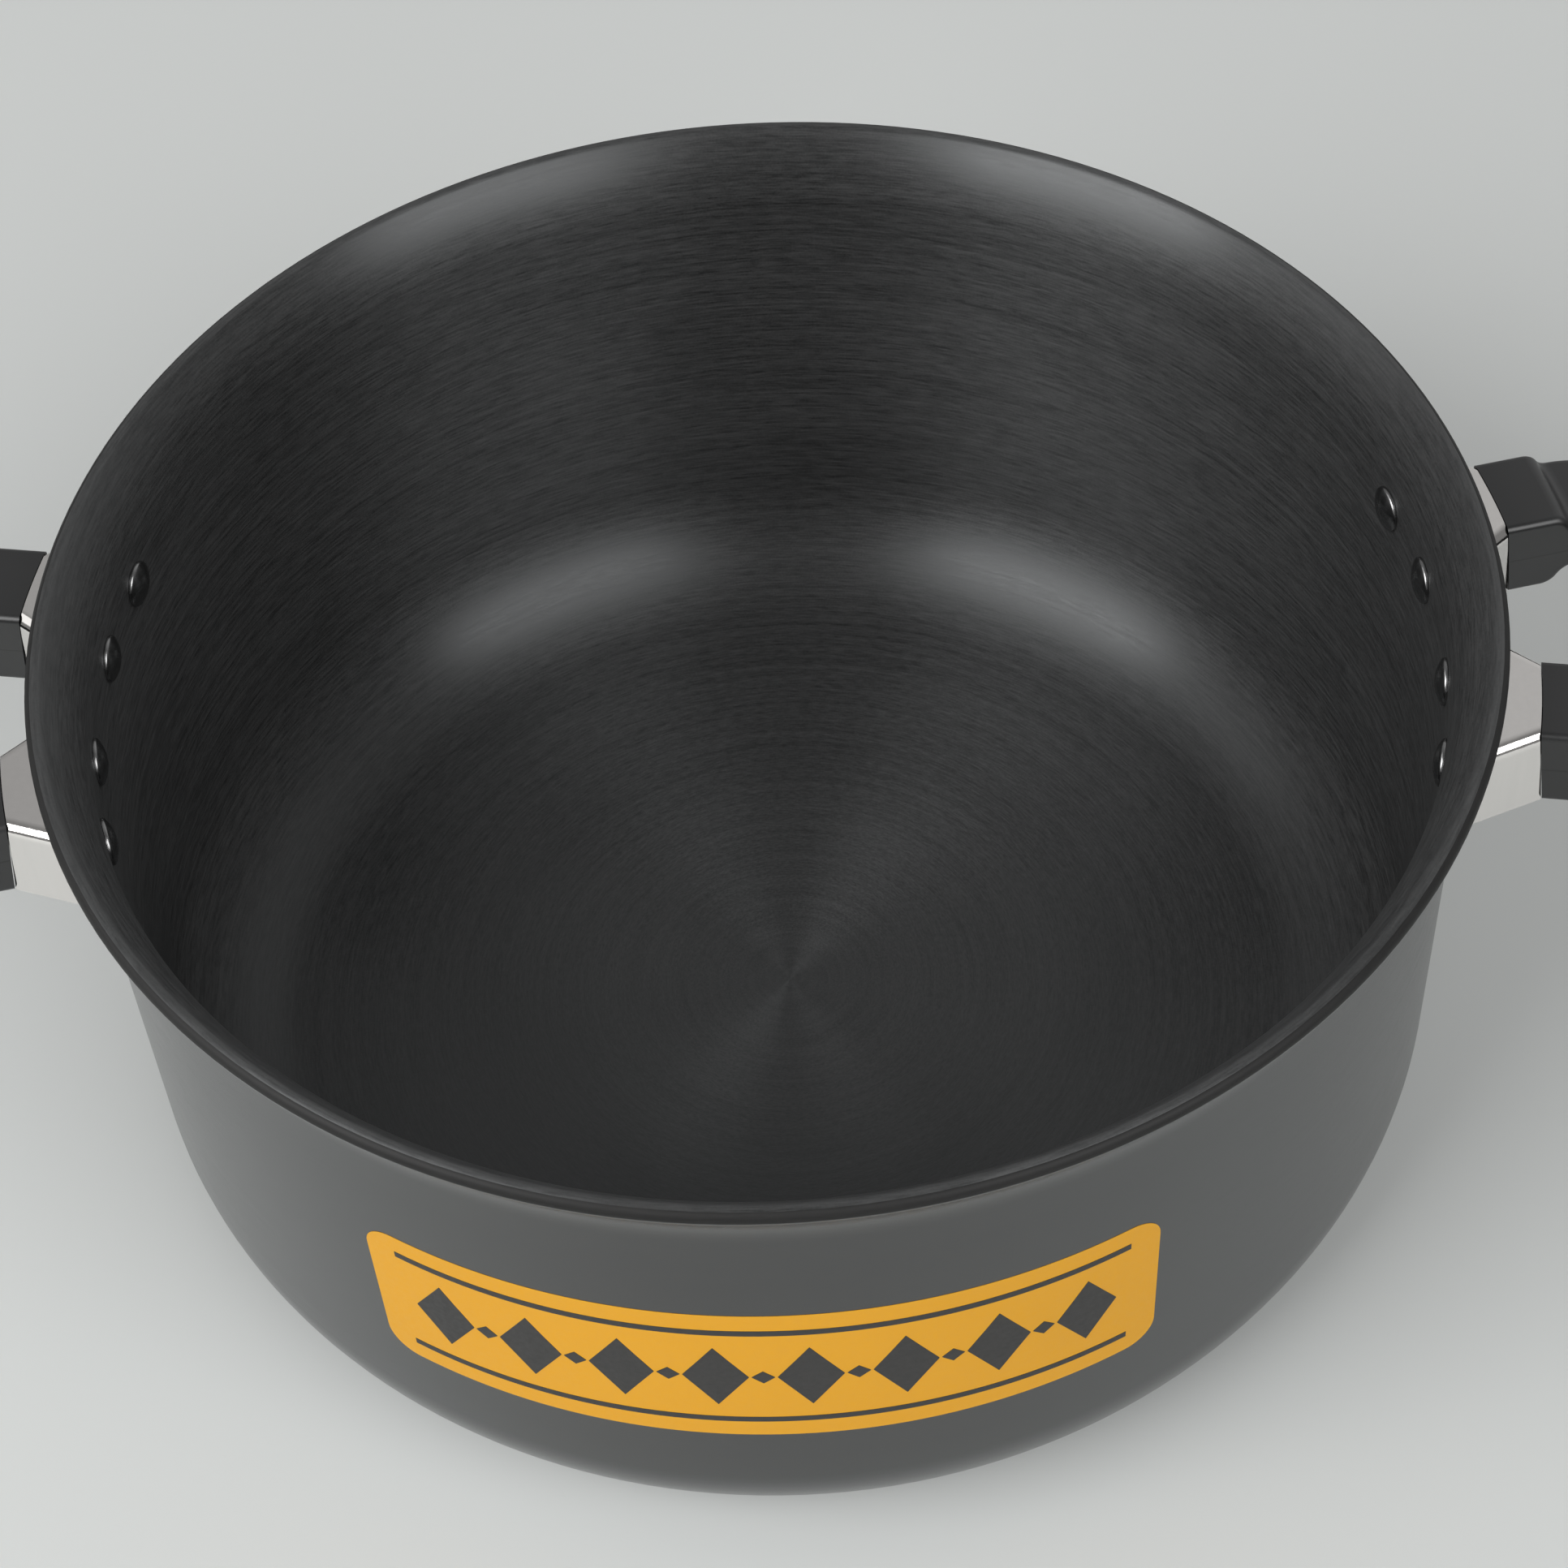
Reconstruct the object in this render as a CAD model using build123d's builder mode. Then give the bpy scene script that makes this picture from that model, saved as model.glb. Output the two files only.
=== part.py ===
from build123d import *
import os
from math import asin, atan2, cos, degrees, hypot, radians, sin, sqrt, tan

os.makedirs("parts", exist_ok=True)

# An open cooking pot with a loop handle on each side, in millimetres and degrees.
# The origin is the middle of the base, +Z is up, and the handles lie along +X and -X.
# The front is -Y. An arm is one bracket with the end of the grip that it carries.

# Pot shell
pot_height = 122.8
wall_radius = 129.5  # outside of the upright wall
pot_sheet = 3.5
corner_radius = 28.0  # outside, where the base turns up into the wall
lip_overhang = 5.5  # from the wall out to the edge of the lip
lip_angle = 42.0  # how far the lip leans out from upright

# Brackets, folded from sheet steel
arm_angle = 10.4  # from the middle of the handle to each arm
bracket_sheet = 1.6
bracket_drop = 13.3  # from the top of the lip down to the top of the bracket
bracket_height = 17.8
bracket_length = 12.5  # from the pot's wall to the top of the bracket's outer end
bracket_end_lean = 7.4  # the outer end leans out towards its foot
bracket_wall_width = 34.8  # at the pot's wall, across the top
bracket_end_width = 18.8  # at the outer end, across the top
bracket_side_lean = 2.0  # the sides spread towards their foot
bracket_fold = 2.5  # outside radius of the folds
tang_width = 10.0
tang_length = 12.5  # past the bracket's outer end
tang_height = 8.0  # from the foot of the bracket up to the tang
tang_corner = 2.0

# Rivets
rivet_drop = 8.6  # from the top of the bracket down to the rivets
rivet_shank = 5.0
rivet_head = 9.0
rivet_head_height = 1.9
rivet_tail = 6.5  # the end that is set inside the bracket
rivet_tail_height = 2.0
rivet_edge = 0.4  # upright edge below the dome of a head

# Grips, moulded loops
bar_gap = 23.0  # from the bracket's outer end to the cross bar
bar_width = 14.0
bar_top_step = 3.0  # from the top of an arm down to the bar
bar_foot_step = 4.2  # from the foot of an arm up to the bar
arm_top_length = 9.5  # level stretch before the top shoulder
arm_foot_length = 8.5  # level stretch before the lower shoulder, from the top of the end
top_shoulder = 5.5
foot_shoulder = 7.0
outer_corner = 22.0
inner_corner = 8.0
grip_edge = 1.4

# Grip screws and the threaded inserts that hold them
screw_inset = 7.0  # from the bracket's outer end to the screw
screw_diameter = 4.0
screw_head = 7.0
screw_head_height = 2.4
screw_head_round = 1.0
screw_slot_width = 1.0
screw_slot_depth = 1.1
screw_recess = 3.0  # from the foot of an arm up to the seat of the screw head
insert_across = 6.5  # between the flats of the hexagon
insert_length = 5.0

# Clearances
seat_gap = 0.1  # between pieces that are pressed together
shank_gap = 0.1  # round rivets and round the screw in its thread
slot_gap = 0.2  # round the tang, and between the grip and the bracket's end
screw_gap = 0.3  # round the screw in the grip and the tang
head_gap = 0.5  # round the screw head in its recess
tail_gap = 0.4  # between the bracket's side and a rivet's tail
mould_gap = 0.05  # round the insert

# Limits for picking out edges and faces
same_place = 0.01  # how near two points count as one
level_share = 0.001  # most rise in the normal of an upright wall
steep_share = 0.95  # least rise in the direction of an upright edge

# Heights and radii that follow
inner_radius = wall_radius - pot_sheet
flare_middle = lip_overhang / (1 - cos(radians(lip_angle)))
flare_outer = flare_middle - pot_sheet / 2
flare_start = pot_height - pot_sheet / 2 - flare_middle * sin(radians(lip_angle))
bracket_reach = wall_radius + bracket_length
bracket_top = pot_height - bracket_drop
bracket_foot = bracket_top - bracket_height
end_lean_run = bracket_height * tan(radians(bracket_end_lean))
flare_rise = max(bracket_top - bracket_fold - flare_start, 0)  # of the bracket's back beside the flare
flare_run = flare_outer - sqrt(flare_outer**2 - flare_rise**2)
flange_radius = wall_radius + flare_run + seat_gap
wall_half = bracket_wall_width / 2
end_half = bracket_end_width / 2
wall_side = sqrt(flange_radius**2 - wall_half**2)  # along the arm, where a side meets the wall
side_taper = degrees(atan2(wall_half - end_half, bracket_reach - wall_side))
rivet_height = bracket_top - rivet_drop
tang_foot = bracket_foot + tang_height
tang_top = tang_foot + bracket_sheet
screw_reach = bracket_reach + screw_inset
screw_seat = bracket_foot + screw_recess
insert_foot = tang_top + slot_gap
insert_top = insert_foot + insert_length
grip_reach = bracket_reach + slot_gap
bar_inner = bracket_reach + bar_gap
bar_outer = bar_inner + bar_width
bar_top = bracket_top - bar_top_step
bar_foot = bracket_foot + bar_foot_step

# The rivets stand as far apart as the bracket's sides leave room for their tails
tail_seat = flange_radius + bracket_sheet + seat_gap / 2
tail_rim = tail_seat + rivet_edge
side_reach = bracket_reach * sin(radians(side_taper)) + end_half * cos(radians(side_taper))
tail_limit = side_reach - bracket_sheet - tail_gap  # from the pot's axis, square to the side
tail_turn = degrees(asin(tail_limit / hypot(tail_rim, rivet_tail / 2)))
rivet_step = tail_turn - side_taper - degrees(atan2(rivet_tail / 2, tail_rim))

arms = {
    "right_front": -arm_angle,
    "right_rear": arm_angle,
    "left_rear": 180 - arm_angle,
    "left_front": 180 + arm_angle,
}
sides = {"right": 0, "left": 180}


def turned_plane(turn, height):
    """A level plane whose X axis points outward at the given turn about the pot's axis."""
    return Plane((0, 0, height), x_dir=(cos(radians(turn)), sin(radians(turn)), 0), z_dir=(0, 0, 1))


def radial_plane(turn, radius, height):
    """An upright plane at the given turn and radius that faces outward."""
    outward = (cos(radians(turn)), sin(radians(turn)), 0)
    return Plane((radius * outward[0], radius * outward[1], height), z_dir=outward)


def arm_point(along, across, turn):
    """A point beside the line of an arm, in the plan view."""
    spread = radians(turn)
    return (along * cos(spread) - across * sin(spread), along * sin(spread) + across * cos(spread))


def half_width(along):
    """Half of the bracket's width at its top, at a distance along the arm."""
    return end_half + (bracket_reach - along) * tan(radians(side_taper))


def loop_outline(radius, half_width, start):
    """One side of the loop in plan: two straight arms closed by an arc about the pot's axis."""
    corner = sqrt(radius**2 - half_width**2)
    rear_start = arm_point(start, half_width, arm_angle)
    rear_corner = arm_point(corner, half_width, arm_angle)
    front_corner = (rear_corner[0], -rear_corner[1])
    front_start = (rear_start[0], -rear_start[1])
    Line(front_start, front_corner)
    ThreePointArc(front_corner, (radius, 0), rear_corner)
    Polyline(rear_corner, rear_start, front_start)


def shoulder(start, direction, run, rise, turning):
    """An S of two equal arcs that leaves and ends parallel to the given direction."""
    bend = 2 * degrees(atan2(rise, run))
    radius = run / (2 * sin(radians(bend)))
    first = JernArc(start, direction, radius, turning * bend)
    second = JernArc(first @ 1, first % 1, radius, -turning * bend)
    return second @ 1


# Pot shell, one spun profile with a rounded lip, drilled for the rivets
with BuildPart() as pot_body:
    with BuildSketch(Plane.XZ):
        with BuildLine():
            base = Line((0, 0), (wall_radius - corner_radius, 0))
            outer_bend = JernArc(base @ 1, (1, 0), corner_radius, 90)
            outer_wall = Line(outer_bend @ 1, (wall_radius, flare_start))
            outer_flare = JernArc(outer_wall @ 1, (0, 1), flare_outer, -lip_angle)
            lip = JernArc(outer_flare @ 1, outer_flare % 1, pot_sheet / 2, 180)
            inner_flare = JernArc(lip @ 1, lip % 1, flare_middle + pot_sheet / 2, lip_angle)
            inner_wall = Line(inner_flare @ 1, (inner_radius, corner_radius))
            inner_bend = JernArc(inner_wall @ 1, (0, -1), corner_radius - pot_sheet, -90)
            Polyline(inner_bend @ 1, (0, pot_sheet), (0, 0))
        make_face()
    revolve(axis=Axis.Z)
    rivet_turns = [turn + step for turn in arms.values() for step in (-rivet_step, rivet_step)]
    with BuildSketch(*[radial_plane(turn, inner_radius, rivet_height) for turn in rivet_turns]):
        Circle(rivet_shank / 2 + shank_gap)
    extrude(amount=2 * pot_sheet, both=True, mode=Mode.SUBTRACT)
pot_body.part.label = "pot_body"
export_step(pot_body.part, "parts/pot_body.step")

# Bracket, a tapering box folded from sheet, open below, with a tang turned out into the grip
plan_start = wall_side - pot_sheet
plan_end = bracket_reach + end_lean_run + bracket_sheet

with BuildPart() as bracket:
    with BuildSketch(Plane.XY.offset(bracket_top)):
        with BuildLine():
            Polyline(
                (plan_start, 0),
                (plan_start, half_width(plan_start)),
                (plan_end, half_width(plan_end)),
                (plan_end, 0),
            )
            mirror(about=Plane.XZ)
        make_face()
    extrude(amount=-bracket_height, taper=-bracket_side_lean)
    with BuildSketch(Plane.XZ):
        with BuildLine():
            Polyline(
                (flange_radius, bracket_foot),
                (bracket_reach + end_lean_run, bracket_foot),
                (bracket_reach, bracket_top),
                (flange_radius, bracket_top),
                close=True,
            )
        make_face()
    revolve(axis=Axis.Z, mode=Mode.INTERSECT)
    end_edge = bracket.edges().group_by(Axis.Z)[-1].sort_by(Axis.X)[-1]
    fillet(bracket.edges().group_by(Axis.Z)[-1] - [end_edge], bracket_fold)
    offset(amount=-bracket_sheet, openings=bracket.faces().sort_by(Axis.Z)[0])
    # The end wall stops at the tang, which turns outward from it
    with BuildSketch(Plane.XY.offset(bracket_foot)):
        with Locations((bracket_reach, 0)):
            Rectangle(bracket_reach - flange_radius, tang_width)
    extrude(amount=tang_height, mode=Mode.SUBTRACT)
    with BuildSketch(Plane.XY.offset(tang_foot)) as tang:
        with Locations((bracket_reach - bracket_sheet, 0)):
            Rectangle(tang_length + bracket_sheet, tang_width, align=(Align.MIN, Align.CENTER))
        fillet(tang.vertices().group_by(Axis.X)[-1], tang_corner)
    extrude(amount=bracket_sheet)
    with BuildSketch(Plane.XY.offset(tang_foot)):
        with Locations((screw_reach, 0)):
            Circle(screw_diameter / 2 + screw_gap)
    extrude(amount=bracket_sheet, mode=Mode.SUBTRACT)
    rivet_planes = [radial_plane(step, flange_radius, rivet_height) for step in (-rivet_step, rivet_step)]
    with BuildSketch(*rivet_planes):
        Circle(rivet_shank / 2 + shank_gap)
    extrude(amount=2 * bracket_sheet, both=True, mode=Mode.SUBTRACT)

# Rivet, lying along +X: a low dome inside the pot and a set tail inside the bracket
head_seat = sqrt(inner_radius**2 - (rivet_head / 2) ** 2) - seat_gap / 2

with BuildPart() as rivet:
    with BuildSketch(Plane((0, 0, rivet_height), x_dir=(1, 0, 0), z_dir=(0, -1, 0))):
        with BuildLine():
            head_top = (head_seat - rivet_head_height, 0)
            head_side = Line((head_seat - rivet_edge, rivet_head / 2), (head_seat, rivet_head / 2))
            TangentArc(head_top, head_side @ 0, tangent=(0, 1))
            tail_side = Line((tail_seat, rivet_tail / 2), (tail_rim, rivet_tail / 2))
            tail_top = (tail_seat + rivet_tail_height, 0)
            TangentArc(tail_top, tail_side @ 1, tangent=(0, 1))
            Polyline(
                head_side @ 1,
                (head_seat, rivet_shank / 2),
                (tail_seat, rivet_shank / 2),
                tail_side @ 0,
            )
            Line(head_top, tail_top)
        make_face()
    revolve(axis=Axis((0, 0, rivet_height), (1, 0, 0)))

# Grip screw, a slotted pan head below and a plain shank up into the insert
with BuildPart() as screw:
    with BuildSketch(Plane.XZ):
        with BuildLine():
            Polyline(
                (screw_reach, screw_seat - screw_head_height),
                (screw_reach + screw_head / 2, screw_seat - screw_head_height),
                (screw_reach + screw_head / 2, screw_seat),
                (screw_reach + screw_diameter / 2, screw_seat),
                (screw_reach + screw_diameter / 2, insert_top - screw_gap),
                (screw_reach, insert_top - screw_gap),
                close=True,
            )
        make_face()
    revolve(axis=Axis((screw_reach, 0, 0), (0, 0, 1)))
    fillet(screw.edges().group_by(Axis.Z)[0], screw_head_round)
    with BuildSketch(Plane.XY.offset(screw_seat - screw_head_height)):
        with Locations((screw_reach, 0)):
            Rectangle(screw_slot_width, 2 * screw_head)
    extrude(amount=screw_slot_depth, mode=Mode.SUBTRACT)

# Threaded insert, cut from hexagon bar so that it can't turn in the grip
with BuildPart() as insert:
    with BuildSketch(Plane.XY.offset(insert_foot)):
        with Locations((screw_reach, 0)):
            RegularPolygon(insert_across / 2, 6, major_radius=False)
            Circle(screw_diameter / 2 + shank_gap, mode=Mode.SUBTRACT)
    extrude(amount=insert_length)

# Grip, a loop in plan, with shoulders that step the deep arms down to the slim cross bar
with BuildPart() as grip:
    with BuildSketch(Plane.XY.offset(bracket_foot)) as loop:
        with BuildLine():
            loop_outline(bar_outer, end_half, bracket_reach - bar_width)
        make_face()
        fillet(loop.vertices().group_by(Axis.X)[-1], outer_corner)
        with BuildLine():
            loop_outline(bar_inner, -end_half, bracket_reach - 2 * bar_width)
        make_face(mode=Mode.SUBTRACT)
        inner_corners = loop.vertices().filter_by(lambda v: abs(hypot(v.X, v.Y) - bar_inner) < same_place)
        fillet(inner_corners, inner_corner)
    extrude(amount=bracket_height)
    with BuildSketch(Plane.XZ):
        with BuildLine():
            end_face = Line((grip_reach + end_lean_run, bracket_foot), (grip_reach, bracket_top))
            arm_top = Line(end_face @ 1, (grip_reach + arm_top_length, bracket_top))
            top_end = shoulder(arm_top @ 1, (1, 0), top_shoulder, bar_top_step, -1)
            arm_foot = Line(end_face @ 0, (grip_reach + arm_foot_length, bracket_foot))
            foot_end = shoulder(arm_foot @ 1, (1, 0), foot_shoulder, bar_foot_step, 1)
            Polyline(top_end, (2 * bar_outer, bar_top), (2 * bar_outer, bar_foot), foot_end)
        make_face()
    revolve(axis=Axis.Z, mode=Mode.INTERSECT)
    walls = grip.faces().filter_by(lambda f: abs(f.normal_at().Z) < level_share)
    rims = walls.edges().filter_by(lambda e: abs((e % 0.5).Z) < steep_share)
    fillet(rims, grip_edge)
    for turn in (-arm_angle, arm_angle):
        with BuildSketch(turned_plane(turn, tang_foot - slot_gap)):
            with Locations((bracket_reach, 0)):
                Rectangle(
                    tang_length + slot_gap,
                    tang_width + 2 * slot_gap,
                    align=(Align.MIN, Align.CENTER),
                )
        extrude(amount=bracket_sheet + 2 * slot_gap, mode=Mode.SUBTRACT)
        with BuildSketch(turned_plane(turn, bracket_foot)):
            with Locations((screw_reach, 0)):
                Circle(screw_head / 2 + head_gap)
        extrude(amount=screw_recess, mode=Mode.SUBTRACT)
        with BuildSketch(turned_plane(turn, screw_seat)):
            with Locations((screw_reach, 0)):
                Circle(screw_diameter / 2 + screw_gap)
        extrude(amount=tang_foot - screw_seat, mode=Mode.SUBTRACT)
        with BuildSketch(turned_plane(turn, tang_top)):
            with Locations((screw_reach, 0)):
                RegularPolygon(insert_across / 2 + mould_gap, 6, major_radius=False)
        extrude(amount=slot_gap + insert_length + mould_gap, mode=Mode.SUBTRACT)

# Each piece in its place
for name, turn in arms.items():
    placed = {"bracket": (bracket, turn), "screw": (screw, turn), "insert": (insert, turn)}
    placed["rivet_1"] = (rivet, turn - rivet_step)
    placed["rivet_2"] = (rivet, turn + rivet_step)
    for kind, (piece, piece_turn) in placed.items():
        with BuildPart() as set_piece:
            with Locations(Location((0, 0, 0), (0, 0, piece_turn))):
                add(piece.part)
        set_piece.part.label = f"{name}_{kind}"
        export_step(set_piece.part, f"parts/{name}_{kind}.step")

for name, turn in sides.items():
    with BuildPart() as set_grip:
        with Locations(Location((0, 0, 0), (0, 0, turn))):
            add(grip.part)
    set_grip.part.label = f"{name}_grip"
    export_step(set_grip.part, f"parts/{name}_grip.step")
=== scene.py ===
import bpy
import math
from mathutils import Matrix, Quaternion, Vector


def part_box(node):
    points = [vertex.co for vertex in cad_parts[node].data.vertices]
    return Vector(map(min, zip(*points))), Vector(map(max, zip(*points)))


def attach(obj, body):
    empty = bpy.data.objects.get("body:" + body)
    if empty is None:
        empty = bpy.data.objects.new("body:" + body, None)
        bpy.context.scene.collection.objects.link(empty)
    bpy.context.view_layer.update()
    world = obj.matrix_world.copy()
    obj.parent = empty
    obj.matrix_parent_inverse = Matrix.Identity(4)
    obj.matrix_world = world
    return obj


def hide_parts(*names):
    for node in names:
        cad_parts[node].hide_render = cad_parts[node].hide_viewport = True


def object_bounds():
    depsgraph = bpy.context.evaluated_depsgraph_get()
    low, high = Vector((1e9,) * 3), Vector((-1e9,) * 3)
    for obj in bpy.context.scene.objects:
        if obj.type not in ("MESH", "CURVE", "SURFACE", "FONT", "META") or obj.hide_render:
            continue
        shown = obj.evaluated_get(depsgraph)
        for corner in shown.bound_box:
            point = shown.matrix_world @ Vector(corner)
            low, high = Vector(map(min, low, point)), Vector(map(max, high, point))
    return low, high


# An open hard-anodised cooking pot with a loop handle on each side, on a plain pale floor.
# Metres and degrees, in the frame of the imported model: the base stands on z = 0, the front is -Y.

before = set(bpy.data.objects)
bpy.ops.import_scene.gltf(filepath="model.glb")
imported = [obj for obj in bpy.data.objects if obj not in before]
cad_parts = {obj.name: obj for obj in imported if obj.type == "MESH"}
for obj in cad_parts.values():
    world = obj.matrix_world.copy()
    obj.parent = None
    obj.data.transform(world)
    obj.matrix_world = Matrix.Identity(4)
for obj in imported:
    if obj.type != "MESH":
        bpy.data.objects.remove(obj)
cad_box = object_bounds()

# Pot shell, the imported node's own sizes, for a finer turned mesh in its place
pot_height = cad_box[1][2]
wall_radius = 0.1295  # outside of the upright wall
shell_sheet = 0.0035
shell_corner = 0.028  # outside, where the base turns up into the wall
lip_overhang = 0.0055
lip_angle = 42.0  # how far the lip leans out from upright
edge_turn = 68.0  # of the lip's rounding, from its widest ring up, that has the edge's finish
turn_steps = 192  # faces round the shell
turn_start = 0.5  # of a step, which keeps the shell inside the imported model's box
ring_gap = 0.008  # between rings on a straight stretch
arc_gap = 4.0  # degrees between rings on a bend
middle_ring = ring_gap / 4  # radius of the innermost ring of the base
same_place = 0.000001  # points nearer than this are one

# Rivets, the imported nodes' own sizes, for finer turned meshes in their place
rivet_head = 0.009
rivet_head_height = 0.0019
rivet_shank = 0.005
rivet_tail = 0.0065
rivet_tail_height = 0.002
rivet_rim = 0.0006  # rounding between the dome and the edge of an end
rivet_edge = 0.0002  # upright edge below that rounding
rivet_steps = 48  # faces round a rivet
dome_steps = 8  # rings on a dome
rim_steps = 5  # rings on a rim
sharp_angle = 50.0  # degrees between two faces that meet in a crisp edge

# Spun marks on the shell
line_density = 3400.0  # fine lines per metre
line_breaks = 30.0  # breaks in a line, per radian
ring_density = 1300.0  # broader rings per metre
ring_breaks = 1.2
speckle_density = 2400.0  # specks per metre
mottle_density = 30.0  # faint clouds per metre
line_share = 0.46  # of each kind of mark in the finish
ring_share = 0.24
speckle_share = 0.2
mottle_share = 0.1
mark_range = (0.38, 0.62)  # of the summed marks, over which the finish changes
across_marks = 0.25  # of a turn, from the marks to the way in which they spread the light
mark_height = 0.0001  # in relief, for marks and for grain

# Working marks on bare metal
smudge_density = 90.0
metal_shade = 0.93  # of the metal's colour, in the marks
metal_relief = 0.03

# Moulded phenolic
grain_density = 2600.0
grain_share = 0.15  # height of the grain beside that of the parting line
cloud_density = 60.0
phenolic_colours = (0.012, 0.019)
phenolic_warmth = -0.02
phenolic_roughness = (0.30, 0.40)
phenolic_index = 1.55
phenolic_relief = 0.25
parting_colour = 0.006
parting_fade = (0.00005, 0.00035)  # from the middle of the parting line, where it fades

# Printed film
ink_density = 900.0
wash_density = 40.0
ink_shade = 0.92  # of the ink's colour, where it is uneven
print_roughness = (0.40, 0.52)
print_index = 1.3
print_relief = 0.03
print_height = 0.00005

# Shared by several finishes
noise_range = (0.3, 0.7)  # in which nearly all of a noise lies
full_range = (0.0, 1.0)
white = (1.0, 1.0, 1.0, 1.0)

# Camera, at the photograph's viewing angle
camera_lens = 76.05  # millimetres
camera_sensor = 36.0  # millimetres
camera_place = Vector((0.0075, -0.4166, 0.5643))
camera_aim = Vector((0.0016, 0.0, 0.0673))
camera_roll = 4.02

# Light
sky_level = 0.22  # strength overhead and on the camera's side
sky_back_left = 0.32
sky_back_right = 0.63
sky_back = 0.6  # sine of the angle from overhead to where the sky is at its back's full strength
sky_side = 0.5  # sine of the angle to the side where it is at its left or right strength
softbox_reach = 2.4  # from the pot to each softbox
softbox_size = 1.6
softbox_height = 38.0  # above the horizon
softboxes = (  # name, turn from the camera's side of the pot, power
    ("softbox_left", -56.0, 47.0),
    ("softbox_right", 40.0, 33.0),
    ("softbox_side", -95.0, 8.0),
)

# Floor
floor_size = 8.0
floor_colour = (0.59, 0.605, 0.595, 1.0)
floor_shade = 0.97  # of that colour, in faint clouds
floor_clouds = 3.0  # per metre
floor_roughness = 0.55

# Label, a thin printed sticker on the front of the wall
label_turn = -93.2  # its middle, round the pot
label_width = 0.144  # along the wall
label_height = 0.040
label_middle = 0.0638  # height above the floor
label_corner = 0.006
label_film = 0.00006  # thickness of one printed layer
label_side = 0.006  # from the motifs to the ends of the label
label_steps = 48  # faces along the label
label_corner_steps = 10
stripe_inset = 0.0055  # from the edge of the label to the middle of a dark stripe
stripe_width = 0.0016
lozenge_count = 8
lozenge_width = 0.0115
lozenge_height = 0.019
bead_size = 0.004
amber_colour = (0.70, 0.335, 0.014, 1.0)
dark_colour = (0.0357, 0.035, 0.0343, 1.0)


def new_material(name):
    """An empty node material, with its tree and its main shader."""
    material = bpy.data.materials.new(name)
    material.use_nodes = True
    tree = material.node_tree
    return material, tree, tree.nodes["Principled BSDF"]


def add_node(tree, kind, inputs, **settings):
    """A node with its settings, and with its inputs set to values or linked to sockets."""
    node = tree.nodes.new(kind)
    for key, value in settings.items():
        setattr(node, key, value)
    for key, value in inputs.items():
        if isinstance(value, bpy.types.NodeSocket):
            tree.links.new(value, node.inputs[key])
        else:
            node.inputs[key].default_value = value
    return node


def calculate(tree, operation, first, second=0.0):
    """The result of one sum."""
    return add_node(tree, "ShaderNodeMath", {0: first, 1: second}, operation=operation).outputs[0]


def remap(tree, value, old_range, new_range):
    """A value moved from one range to another, and held inside it."""
    inputs = {"Value": value, 1: old_range[0], 2: old_range[1], 3: new_range[0], 4: new_range[1]}
    return add_node(tree, "ShaderNodeMapRange", inputs).outputs[0]


def add_shares(tree, parts):
    """The sum of several values, each times its share."""
    total = 0.0
    for value, share in parts:
        total = calculate(tree, "ADD", total, calculate(tree, "MULTIPLY", value, share))
    return total


def blend_colours(tree, amount, first, second):
    """A colour between two others."""
    inputs = {"Factor": amount, 6: first, 7: second}
    return add_node(tree, "ShaderNodeMix", inputs, data_type="RGBA").outputs[2]


def grey(level, warmth=0.0):
    """A neutral colour, a little warm or cool."""
    return (level * (1 + warmth), level, level * (1 - warmth), 1.0)


def darker(colour, share):
    """A share of a colour."""
    return tuple(part * share for part in colour[:3]) + (1.0,)


def object_place(tree):
    """The point on the surface, in the frame of the model."""
    return tree.nodes.new("ShaderNodeTexCoord").outputs["Object"]


def noise(tree, place, scale, detail=2.0):
    """Plain noise over the surface."""
    inputs = {"Vector": place, "Scale": scale, "Detail": detail}
    return add_node(tree, "ShaderNodeTexNoise", inputs).outputs["Fac"]


def dress_shader(tree, shader, colour, roughness, height, relief, distance):
    """Links the colour and the roughness of a surface, and the height of its relief."""
    bump = add_node(tree, "ShaderNodeBump", {"Height": height, "Strength": relief, "Distance": distance})
    tree.links.new(colour, shader.inputs["Base Color"])
    tree.links.new(roughness, shader.inputs["Roughness"])
    tree.links.new(bump.outputs[0], shader.inputs["Normal"])


def round_place(tree):
    """Distance from the pot's axis, height, and the direction outward."""
    split = add_node(tree, "ShaderNodeSeparateXYZ", {0: object_place(tree)})
    flat = add_node(tree, "ShaderNodeCombineXYZ", {0: split.outputs[0], 1: split.outputs[1]}).outputs[0]
    radius = add_node(tree, "ShaderNodeVectorMath", {0: flat}, operation="LENGTH").outputs["Value"]
    outward = add_node(tree, "ShaderNodeVectorMath", {0: flat}, operation="NORMALIZE").outputs["Vector"]
    return radius, split.outputs[2], outward


def spun_marks(tree, spot, density, breaks):
    """Noise drawn out into rings round the pot: marks per metre, and breaks per radian."""
    radius, height, outward = spot
    split = add_node(tree, "ShaderNodeSeparateXYZ", {0: outward})
    across = calculate(tree, "MULTIPLY", radius, density)
    up = calculate(tree, "MULTIPLY", height, density)
    along = calculate(tree, "MULTIPLY", split.outputs[0], breaks)
    turn = calculate(tree, "MULTIPLY", split.outputs[1], breaks)
    place = add_node(tree, "ShaderNodeCombineXYZ", {0: across, 1: up, 2: along}).outputs[0]
    inputs = {"Vector": place, "W": turn, "Scale": 1.0, "Detail": 2.0}
    return add_node(tree, "ShaderNodeTexNoise", inputs, noise_dimensions="4D").outputs["Fac"]


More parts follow.
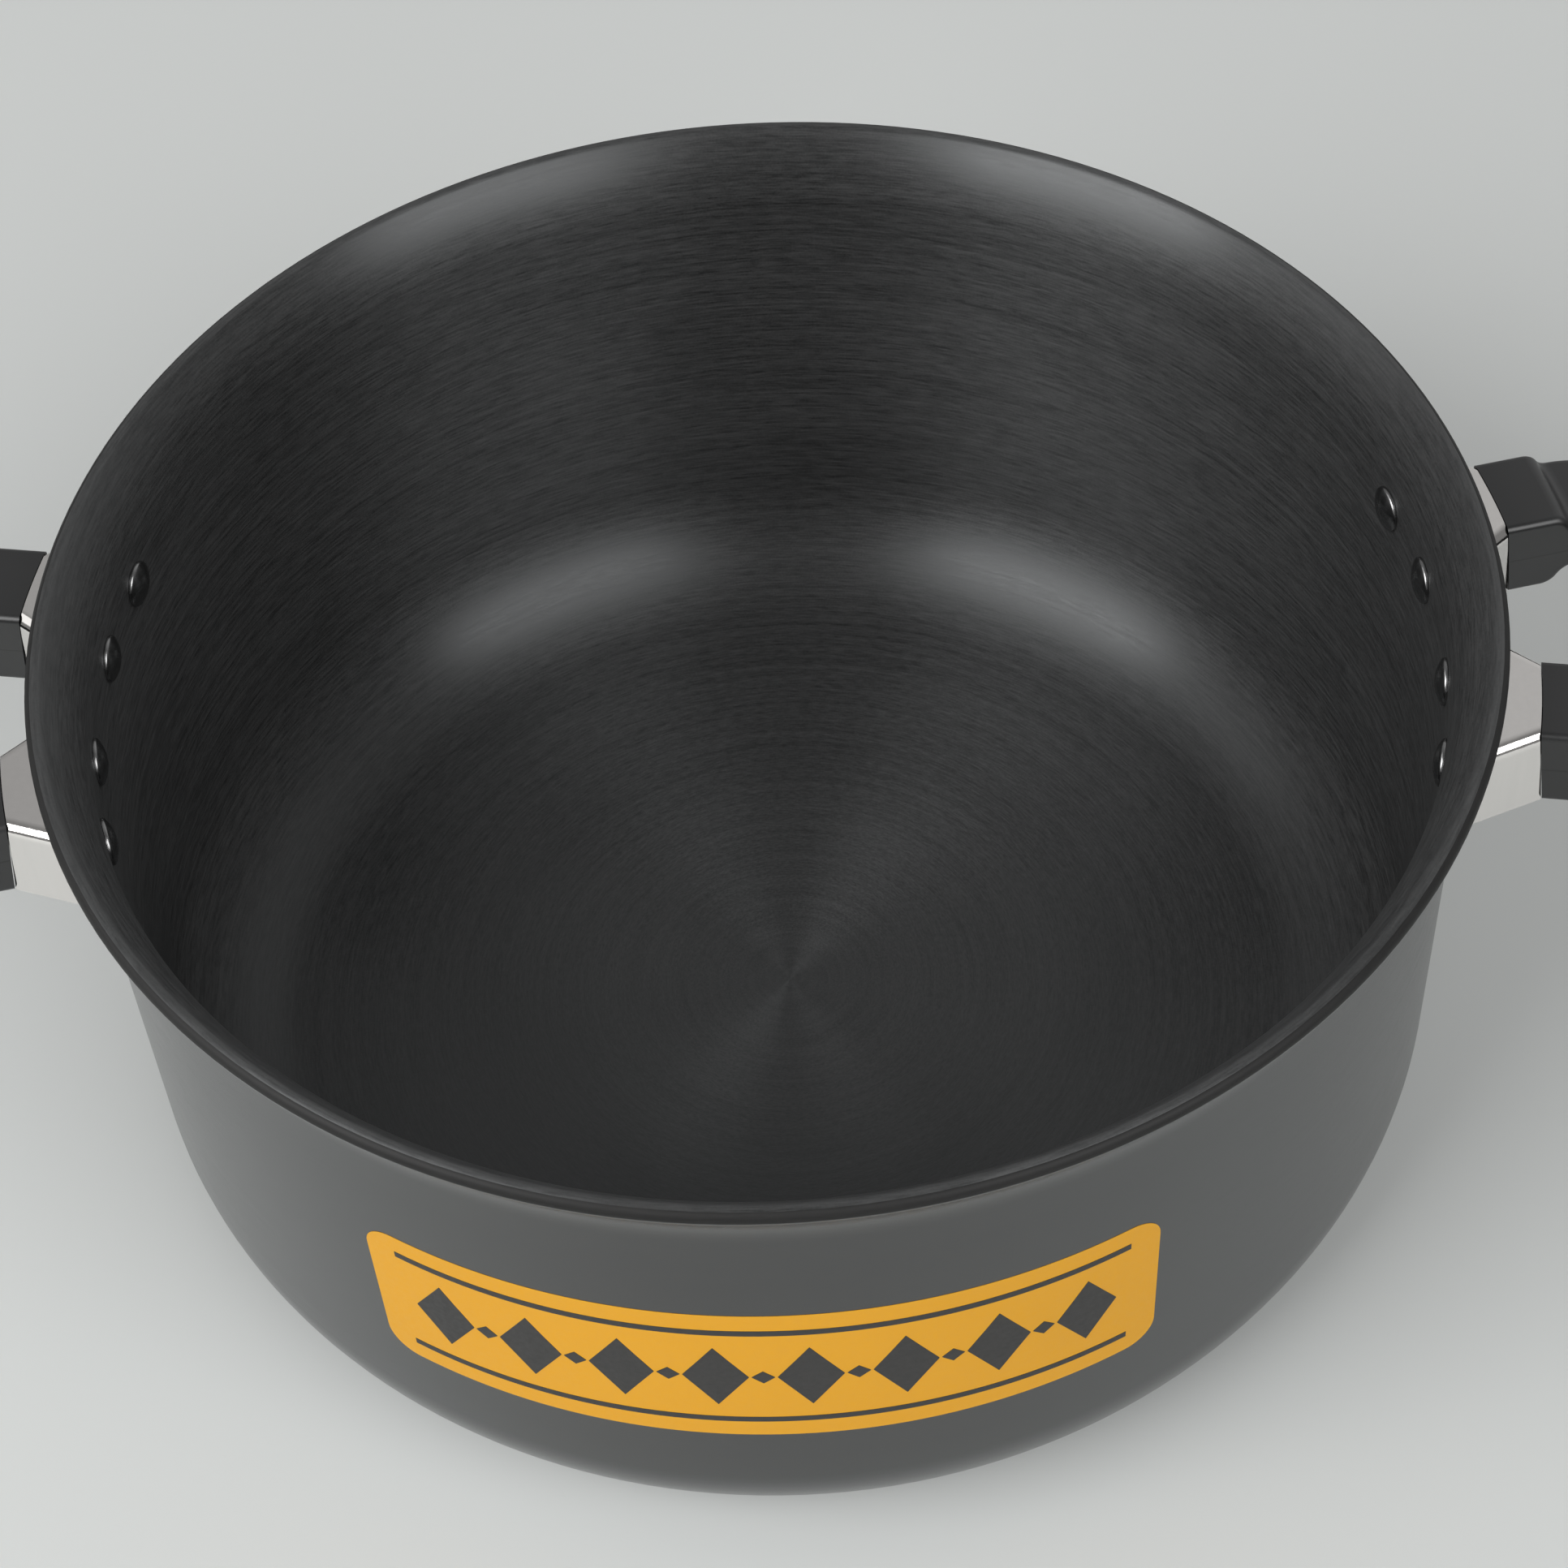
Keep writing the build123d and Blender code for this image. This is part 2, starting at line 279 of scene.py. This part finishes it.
def spun_aluminium(name, colours, roughness, relief, index, spread=0.0, tint=white):
    """Dark hard-anodised aluminium whose fine rings from spinning spread the light across them."""
    material, tree, shader = new_material(name)
    spot = round_place(tree)
    lines = spun_marks(tree, spot, line_density, line_breaks)
    rings = spun_marks(tree, spot, ring_density, ring_breaks)
    speckle = noise(tree, object_place(tree), speckle_density)
    mottle = noise(tree, object_place(tree), mottle_density)
    marks = ((lines, line_share), (rings, ring_share), (speckle, speckle_share), (mottle, mottle_share))
    depth = remap(tree, add_shares(tree, marks), mark_range, full_range)
    colour = blend_colours(tree, depth, *colours)
    dress_shader(tree, shader, colour, remap(tree, depth, full_range, roughness), lines, relief, mark_height)
    tangent = add_node(tree, "ShaderNodeTangent", {}, direction_type="RADIAL", axis="Z")
    tree.links.new(tangent.outputs[0], shader.inputs["Tangent"])
    shader.inputs["Anisotropic"].default_value = spread
    shader.inputs["Anisotropic Rotation"].default_value = across_marks
    shader.inputs["IOR"].default_value = index
    shader.inputs["Specular Tint"].default_value = tint
    return material


def worked_metal(name, colour, roughness, spread, stretch):
    """Bare metal with fine working marks, with so many of them per metre along each axis."""
    material, tree, shader = new_material(name)
    place = add_node(tree, "ShaderNodeMapping", {"Vector": object_place(tree), "Scale": stretch}).outputs[0]
    marks = noise(tree, place, 1.0, detail=3.0)
    smudge = noise(tree, object_place(tree), smudge_density)
    mixed = blend_colours(tree, marks, darker(colour, metal_shade), colour)
    worn = add_shares(tree, ((marks, spread), (smudge, spread)))
    worn_roughness = calculate(tree, "ADD", worn, roughness - spread)
    dress_shader(tree, shader, mixed, worn_roughness, marks, metal_relief, mark_height)
    shader.inputs["Metallic"].default_value = 1.0
    return material


def phenolic():
    """Black moulded phenolic: a fine grain, faint cloudiness and the mould's parting line."""
    material, tree, shader = new_material("phenolic")
    place = object_place(tree)
    grain = noise(tree, place, grain_density, detail=3.0)
    cloud = noise(tree, place, cloud_density)
    low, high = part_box("right_grip")
    parting = (low[2] + high[2]) / 2
    height = add_node(tree, "ShaderNodeSeparateXYZ", {0: place}).outputs[2]
    off_line = calculate(tree, "ABSOLUTE", calculate(tree, "SUBTRACT", height, parting))
    line = remap(tree, off_line, parting_fade, (1.0, 0.0))
    body = blend_colours(tree, cloud, *(grey(level, phenolic_warmth) for level in phenolic_colours))
    colour = blend_colours(tree, line, body, grey(parting_colour))
    roughness = remap(tree, cloud, noise_range, phenolic_roughness)
    relief = calculate(tree, "SUBTRACT", calculate(tree, "MULTIPLY", grain, grain_share), line)
    dress_shader(tree, shader, colour, roughness, relief, phenolic_relief, mark_height)
    shader.inputs["IOR"].default_value = phenolic_index
    return material


def printed_film(name, colour):
    """Satin printed film with a faint unevenness in the ink."""
    material, tree, shader = new_material(name)
    place = object_place(tree)
    ink = noise(tree, place, ink_density, detail=4.0)
    wash = noise(tree, place, wash_density)
    worn = add_shares(tree, ((ink, 0.5), (wash, 0.5)))
    mixed = blend_colours(tree, worn, darker(colour, ink_shade), colour)
    roughness = remap(tree, ink, noise_range, print_roughness)
    dress_shader(tree, shader, mixed, roughness, ink, print_relief, print_height)
    shader.inputs["IOR"].default_value = print_index
    return material


def floor_material():
    """A plain pale matt surface."""
    material, tree, shader = new_material("pale_floor")
    cloud = noise(tree, object_place(tree), floor_clouds)
    mixed = blend_colours(tree, cloud, darker(floor_colour, floor_shade), floor_colour)
    tree.links.new(mixed, shader.inputs["Base Color"])
    shader.inputs["Roughness"].default_value = floor_roughness
    return material


def dress(material, ending):
    """Gives the material to every node whose name ends that way."""
    for name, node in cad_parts.items():
        if name.endswith(ending):
            node.data.materials.clear()
            node.data.materials.append(material)


def new_piece(name, points, faces, material, slot):
    """A mesh piece fixed to the pot."""
    mesh = bpy.data.meshes.new(name)
    mesh.from_pydata(points, [], faces)
    mesh.update()
    mesh.materials.append(material)
    piece = bpy.data.objects.new(name, mesh)
    bpy.context.scene.collection.objects.link(piece)
    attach(piece, "root")
    return piece


def film_strip(columns, layer):
    """Points and faces of a closed film on the wall, from columns of (along, low, high)."""
    inner = wall_radius + layer * label_film
    outer = inner + label_film
    points = []
    for along, low, high in columns:
        turn = math.radians(label_turn) + along / wall_radius
        for radius, height in ((inner, low), (inner, high), (outer, high), (outer, low)):
            points.append((radius * math.cos(turn), radius * math.sin(turn), label_middle + height))
    faces = [(3, 2, 1, 0)]
    for step in range(len(columns) - 1):
        here = 4 * step
        for side in range(4):
            after = (side + 1) % 4
            faces.append((here + side, here + after, here + 4 + after, here + 4 + side))
    last = 4 * (len(columns) - 1)
    faces.append((last, last + 1, last + 2, last + 3))
    return points, faces


def rounded_panel(width, height, corner):
    """Columns of a panel with rounded corners."""
    end = []
    for step in range(label_corner_steps + 1):
        swing = math.pi / 2 * step / label_corner_steps
        along = -width / 2 + corner * (1 - math.cos(swing))
        end.append((along, height / 2 - corner * (1 - math.sin(swing))))
    run = width - 2 * corner
    middle = [(-run / 2 + run * step / label_steps, height / 2) for step in range(1, label_steps)]
    other_end = [(-along, half) for along, half in reversed(end)]
    return [(along, -half, half) for along, half in end + middle + other_end]


def diamond(middle, width, height):
    """Columns of one upright diamond, its side tips no wider than the film is thick."""
    tip = label_film
    return [
        (middle - width / 2, -tip, tip),
        (middle, -height / 2, height / 2),
        (middle + width / 2, -tip, tip),
    ]


def stripe(height):
    """Columns of a thin level stripe."""
    run = label_width - 2 * label_side
    half = stripe_width / 2
    places = [-run / 2 + run * step / label_steps for step in range(label_steps + 1)]
    return [(along, height - half, height + half) for along in places]


def join_strips(strips):
    """One list of points and faces from several."""
    points = []
    faces = []
    for strip_points, strip_faces in strips:
        start = len(points)
        points.extend(strip_points)
        faces.extend(tuple(start + corner for corner in face) for face in strip_faces)
    return points, faces


def add_arc(profile, middle, radius, start, end):
    """Adds the points of an arc to a profile of (radius, height)."""
    count = max(2, round(abs(end - start) / arc_gap))
    for step in range(count + 1):
        swing = math.radians(start + (end - start) * step / count)
        profile.append((middle[0] + radius * math.cos(swing), middle[1] + radius * math.sin(swing)))


def shell_profile():
    """The shell's outline from the middle of the base, out, over the lip and back inside."""
    half = shell_sheet / 2
    bend = (wall_radius - shell_corner, shell_corner)
    flare = lip_overhang / (1 - math.cos(math.radians(lip_angle)))
    flare_start = pot_height - half - flare * math.sin(math.radians(lip_angle))
    flare_middle = (wall_radius + flare - half, flare_start)
    lip_middle = (wall_radius + lip_overhang - half, pot_height - half)
    corners = [(middle_ring, 0.0)]
    add_arc(corners, bend, shell_corner, -90, 0)
    add_arc(corners, flare_middle, flare - half, 180, 180 - lip_angle)
    add_arc(corners, lip_middle, half, -lip_angle, 180 - lip_angle)
    add_arc(corners, flare_middle, flare + half, 180 - lip_angle, 180)
    add_arc(corners, bend, shell_corner - shell_sheet, 0, -90)
    corners.append((middle_ring, shell_sheet))
    profile = []
    for here, after in zip(corners, corners[1:]):
        run = math.dist(here, after)
        if run < same_place:
            continue
        count = max(1, round(run / ring_gap))
        for step in range(count):
            share = step / count
            profile.append(tuple(a + (b - a) * share for a, b in zip(here, after)))
    return profile + corners[-1:]


def turned_faces(rings, steps):
    """Faces of a closed turned mesh, whose two end points come after its rings."""
    first_end = rings * steps
    last_end = first_end + 1
    faces = []
    for step in range(steps):
        here = step * rings
        after = (step + 1) % steps * rings
        faces.append((first_end, after, here))
        for ring in range(rings - 1):
            faces.append((here + ring, after + ring, after + ring + 1, here + ring + 1))
        faces.append((last_end, here + rings - 1, after + rings - 1))
    return faces


def finish_choices(profile):
    """The finish of each face in one step of the shell: 0 outside, 1 the lip's edge, 2 inside."""
    bands = range(len(profile) - 1)
    widest = max(bands, key=lambda ring: profile[ring][0])
    edge_height = pot_height - shell_sheet / 2 * (1 - math.sin(math.radians(edge_turn)))
    edge_end = next(ring for ring in bands if ring > widest and profile[ring][1] > edge_height)
    return [0] + [(ring >= widest) + (ring >= edge_end) for ring in bands] + [2]


def turned_shell(finishes):
    """The shell as one closed turned mesh with even faces, and with its finishes."""
    profile = shell_profile()
    points = []
    for step in range(turn_steps):
        turn = 2 * math.pi * (step + turn_start) / turn_steps
        outward = Vector((math.cos(turn), math.sin(turn), 0))
        points.extend(outward * radius + Vector((0, 0, height)) for radius, height in profile)
    points.extend([(0.0, 0.0, profile[0][1]), (0.0, 0.0, profile[-1][1])])
    faces = turned_faces(len(profile), turn_steps)
    piece = new_piece("pot_shell", points, faces, finishes[0], "pot_shell")
    for finish in finishes[1:]:
        piece.data.materials.append(finish)
    piece.data.polygons.foreach_set("material_index", finish_choices(profile) * turn_steps)
    piece.data.shade_smooth()
    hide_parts("pot_body")


def rivet_end(size, height):
    """One end of a rivet, from its crown to its seat: (depth below the crown, radius)."""
    rim_middle = size / 2 - rivet_rim
    rim_depth = height - rivet_edge
    dome = (rim_middle**2 + rim_depth**2 - rivet_rim**2) / (2 * (rim_depth - rivet_rim))
    dome_turn = math.asin(rim_middle / (dome - rivet_rim))
    outline = []
    for step in range(1, dome_steps + 1):
        swing = dome_turn * step / dome_steps
        outline.append((dome * (1 - math.cos(swing)), dome * math.sin(swing)))
    for step in range(1, rim_steps + 1):
        swing = dome_turn + (math.pi / 2 - dome_turn) * step / rim_steps
        outline.append((rim_depth - rivet_rim * math.cos(swing), rim_middle + rivet_rim * math.sin(swing)))
    return outline + [(height, size / 2), (height, rivet_shank / 2)]


def rivet_profile(length):
    """A rivet's outline from the crown of its head to the tip of its tail: (along, radius)."""
    tail = [(length - depth, radius) for depth, radius in rivet_end(rivet_tail, rivet_tail_height)]
    return rivet_end(rivet_head, rivet_head_height) + tail[::-1]


def turned_rivet(node_name, material):
    """A rivet as one closed turned mesh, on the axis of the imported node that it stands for."""
    places = [vertex.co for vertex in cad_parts[node_name].data.vertices]
    crown = min(places, key=lambda place: place.xy.length)
    tip = max(places, key=lambda place: place.xy.length)
    along = (tip - crown).normalized()
    side = along.cross(Vector((0, 0, 1)))
    up = along.cross(side)
    profile = rivet_profile((tip - crown).length)
    points = []
    for step in range(rivet_steps):
        turn = 2 * math.pi * step / rivet_steps
        outward = side * math.cos(turn) + up * math.sin(turn)
        points.extend(crown + along * place + outward * radius for place, radius in profile)
    points.extend([crown, tip])
    faces = turned_faces(len(profile), rivet_steps)
    piece = new_piece(f"{node_name}_turned", points, faces, material, "rivet_metal")
    piece.data.shade_smooth()
    piece.data.set_sharp_from_angle(angle=math.radians(sharp_angle))
    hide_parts(node_name)


def softbox(name, turn, power):
    """A square soft light that faces the pot."""
    light = bpy.data.lights.new(name, "AREA")
    light.size = softbox_size
    light.energy = power
    lamp = bpy.data.objects.new(name, light)
    swing = math.radians(turn)
    rise = math.radians(softbox_height)
    level = math.cos(rise)
    direction = Vector((level * math.sin(swing), -level * math.cos(swing), math.sin(rise)))
    lamp.location = softbox_reach * direction
    lamp.rotation_euler = (-direction).to_track_quat("-Z", "Y").to_euler()
    bpy.context.scene.collection.objects.link(lamp)


def pale_sky():
    """A white sky that grows stronger towards the back, less so on the left than on the right."""
    world = bpy.data.worlds.new("pale_sky")
    world.use_nodes = True
    tree = world.node_tree
    sky = tree.nodes["Background"]
    sky.inputs["Color"].default_value = white
    ray = tree.nodes.new("ShaderNodeTexCoord").outputs["Generated"]
    way = add_node(tree, "ShaderNodeSeparateXYZ", {0: ray})
    back = remap(tree, way.outputs[0], (-sky_side, sky_side), (sky_back_left, sky_back_right))
    share = remap(tree, way.outputs[1], (0.0, sky_back), full_range)
    level = add_node(tree, "ShaderNodeMix", {"Factor": share, 2: sky_level, 3: back}).outputs[0]
    tree.links.new(level, sky.inputs["Strength"])
    return world


# Shell, with a satin outside, a dull edge of the lip and a matt inside
outside_finish = spun_aluminium(
    "anodised_outside",
    colours=(grey(0.010, 0.02), grey(0.017, 0.01)),
    roughness=(0.17, 0.22),
    relief=0.02,
    index=1.7,
    spread=0.6,
    tint=(0.95, 0.98, 1.0, 1.0),
)
edge_finish = spun_aluminium(
    "anodised_edge",
    colours=(grey(0.008, 0.02), grey(0.014, 0.02)),
    roughness=(0.5, 0.6),
    relief=0.02,
    index=1.35,
)
inside_finish = spun_aluminium(
    "anodised_inside",
    colours=(grey(0.010), grey(0.040)),
    roughness=(0.35, 0.46),
    relief=0.03,
    index=1.7,
    spread=0.87,
    tint=(0.96, 0.99, 1.0, 1.0),
)
dress(inside_finish, "pot_body")
turned_shell((outside_finish, edge_finish, inside_finish))

# Brackets, rivets, screws and inserts
steel = worked_metal(
    "polished_steel",
    colour=grey(0.74, 0.03),
    roughness=0.11,
    spread=0.05,
    stretch=(900.0, 900.0, 60.0),
)
rivet_metal = worked_metal(
    "rivet_metal",
    colour=grey(0.27),
    roughness=0.24,
    spread=0.05,
    stretch=(400.0, 400.0, 400.0),
)
screw_metal = worked_metal(
    "screw_metal",
    colour=grey(0.5),
    roughness=0.28,
    spread=0.08,
    stretch=(700.0, 700.0, 200.0),
)
brass = worked_metal(
    "insert_brass",
    colour=(0.68, 0.47, 0.18, 1.0),
    roughness=0.3,
    spread=0.08,
    stretch=(300.0, 300.0, 900.0),
)
dress(steel, "_bracket")
for number in (1, 2):
    dress(rivet_metal, f"_rivet_{number}")
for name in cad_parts:
    if "_rivet_" in name:
        turned_rivet(name, rivet_metal)
dress(screw_metal, "_screw")
dress(brass, "_insert")

# Grips
dress(phenolic(), "_grip")

# Label: an amber film with a row of dark lozenges and beads between two dark stripes
amber = printed_film("amber_print", amber_colour)
dark = printed_film("dark_print", dark_colour)
panel = film_strip(rounded_panel(label_width, label_height, label_corner), 0)
new_piece("label_ground", *panel, amber, "pot_shell")
motif_pitch = (label_width - 2 * label_side) / lozenge_count
motifs = []
for number in range(lozenge_count):
    middle = (number - (lozenge_count - 1) / 2) * motif_pitch
    motifs.append(film_strip(diamond(middle, lozenge_width, lozenge_height), 1))
    if number:
        motifs.append(film_strip(diamond(middle - motif_pitch / 2, bead_size, bead_size), 1))
for side in (-1, 1):
    motifs.append(film_strip(stripe(side * (label_height / 2 - stripe_inset)), 1))
new_piece("label_motifs", *join_strips(motifs), dark, "pot_shell")

# Floor
floor_half = floor_size / 2
floor_corners = [(-1, -1), (1, -1), (1, 1), (-1, 1)]
floor_mesh = bpy.data.meshes.new("floor")
floor_mesh.from_pydata([(x * floor_half, y * floor_half, 0) for x, y in floor_corners], [], [(0, 1, 2, 3)])
floor_mesh.materials.append(floor_material())
floor = bpy.data.objects.new("floor", floor_mesh)
bpy.context.scene.collection.objects.link(floor)

# Light from the softboxes and a pale sky
for softbox_row in softboxes:
    softbox(*softbox_row)
bpy.context.scene.world = pale_sky()

# Camera
camera_data = bpy.data.cameras.new("camera")
camera_data.lens = camera_lens
camera_data.sensor_width = camera_sensor
camera = bpy.data.objects.new("camera", camera_data)
camera.location = camera_place
look = (camera_aim - camera_place).to_track_quat("-Z", "Y")
camera.rotation_euler = (look @ Quaternion((0, 0, 1), -math.radians(camera_roll))).to_euler()
bpy.context.scene.collection.objects.link(camera)
bpy.context.scene.camera = camera

bpy.context.scene.view_settings.view_transform = "Standard"
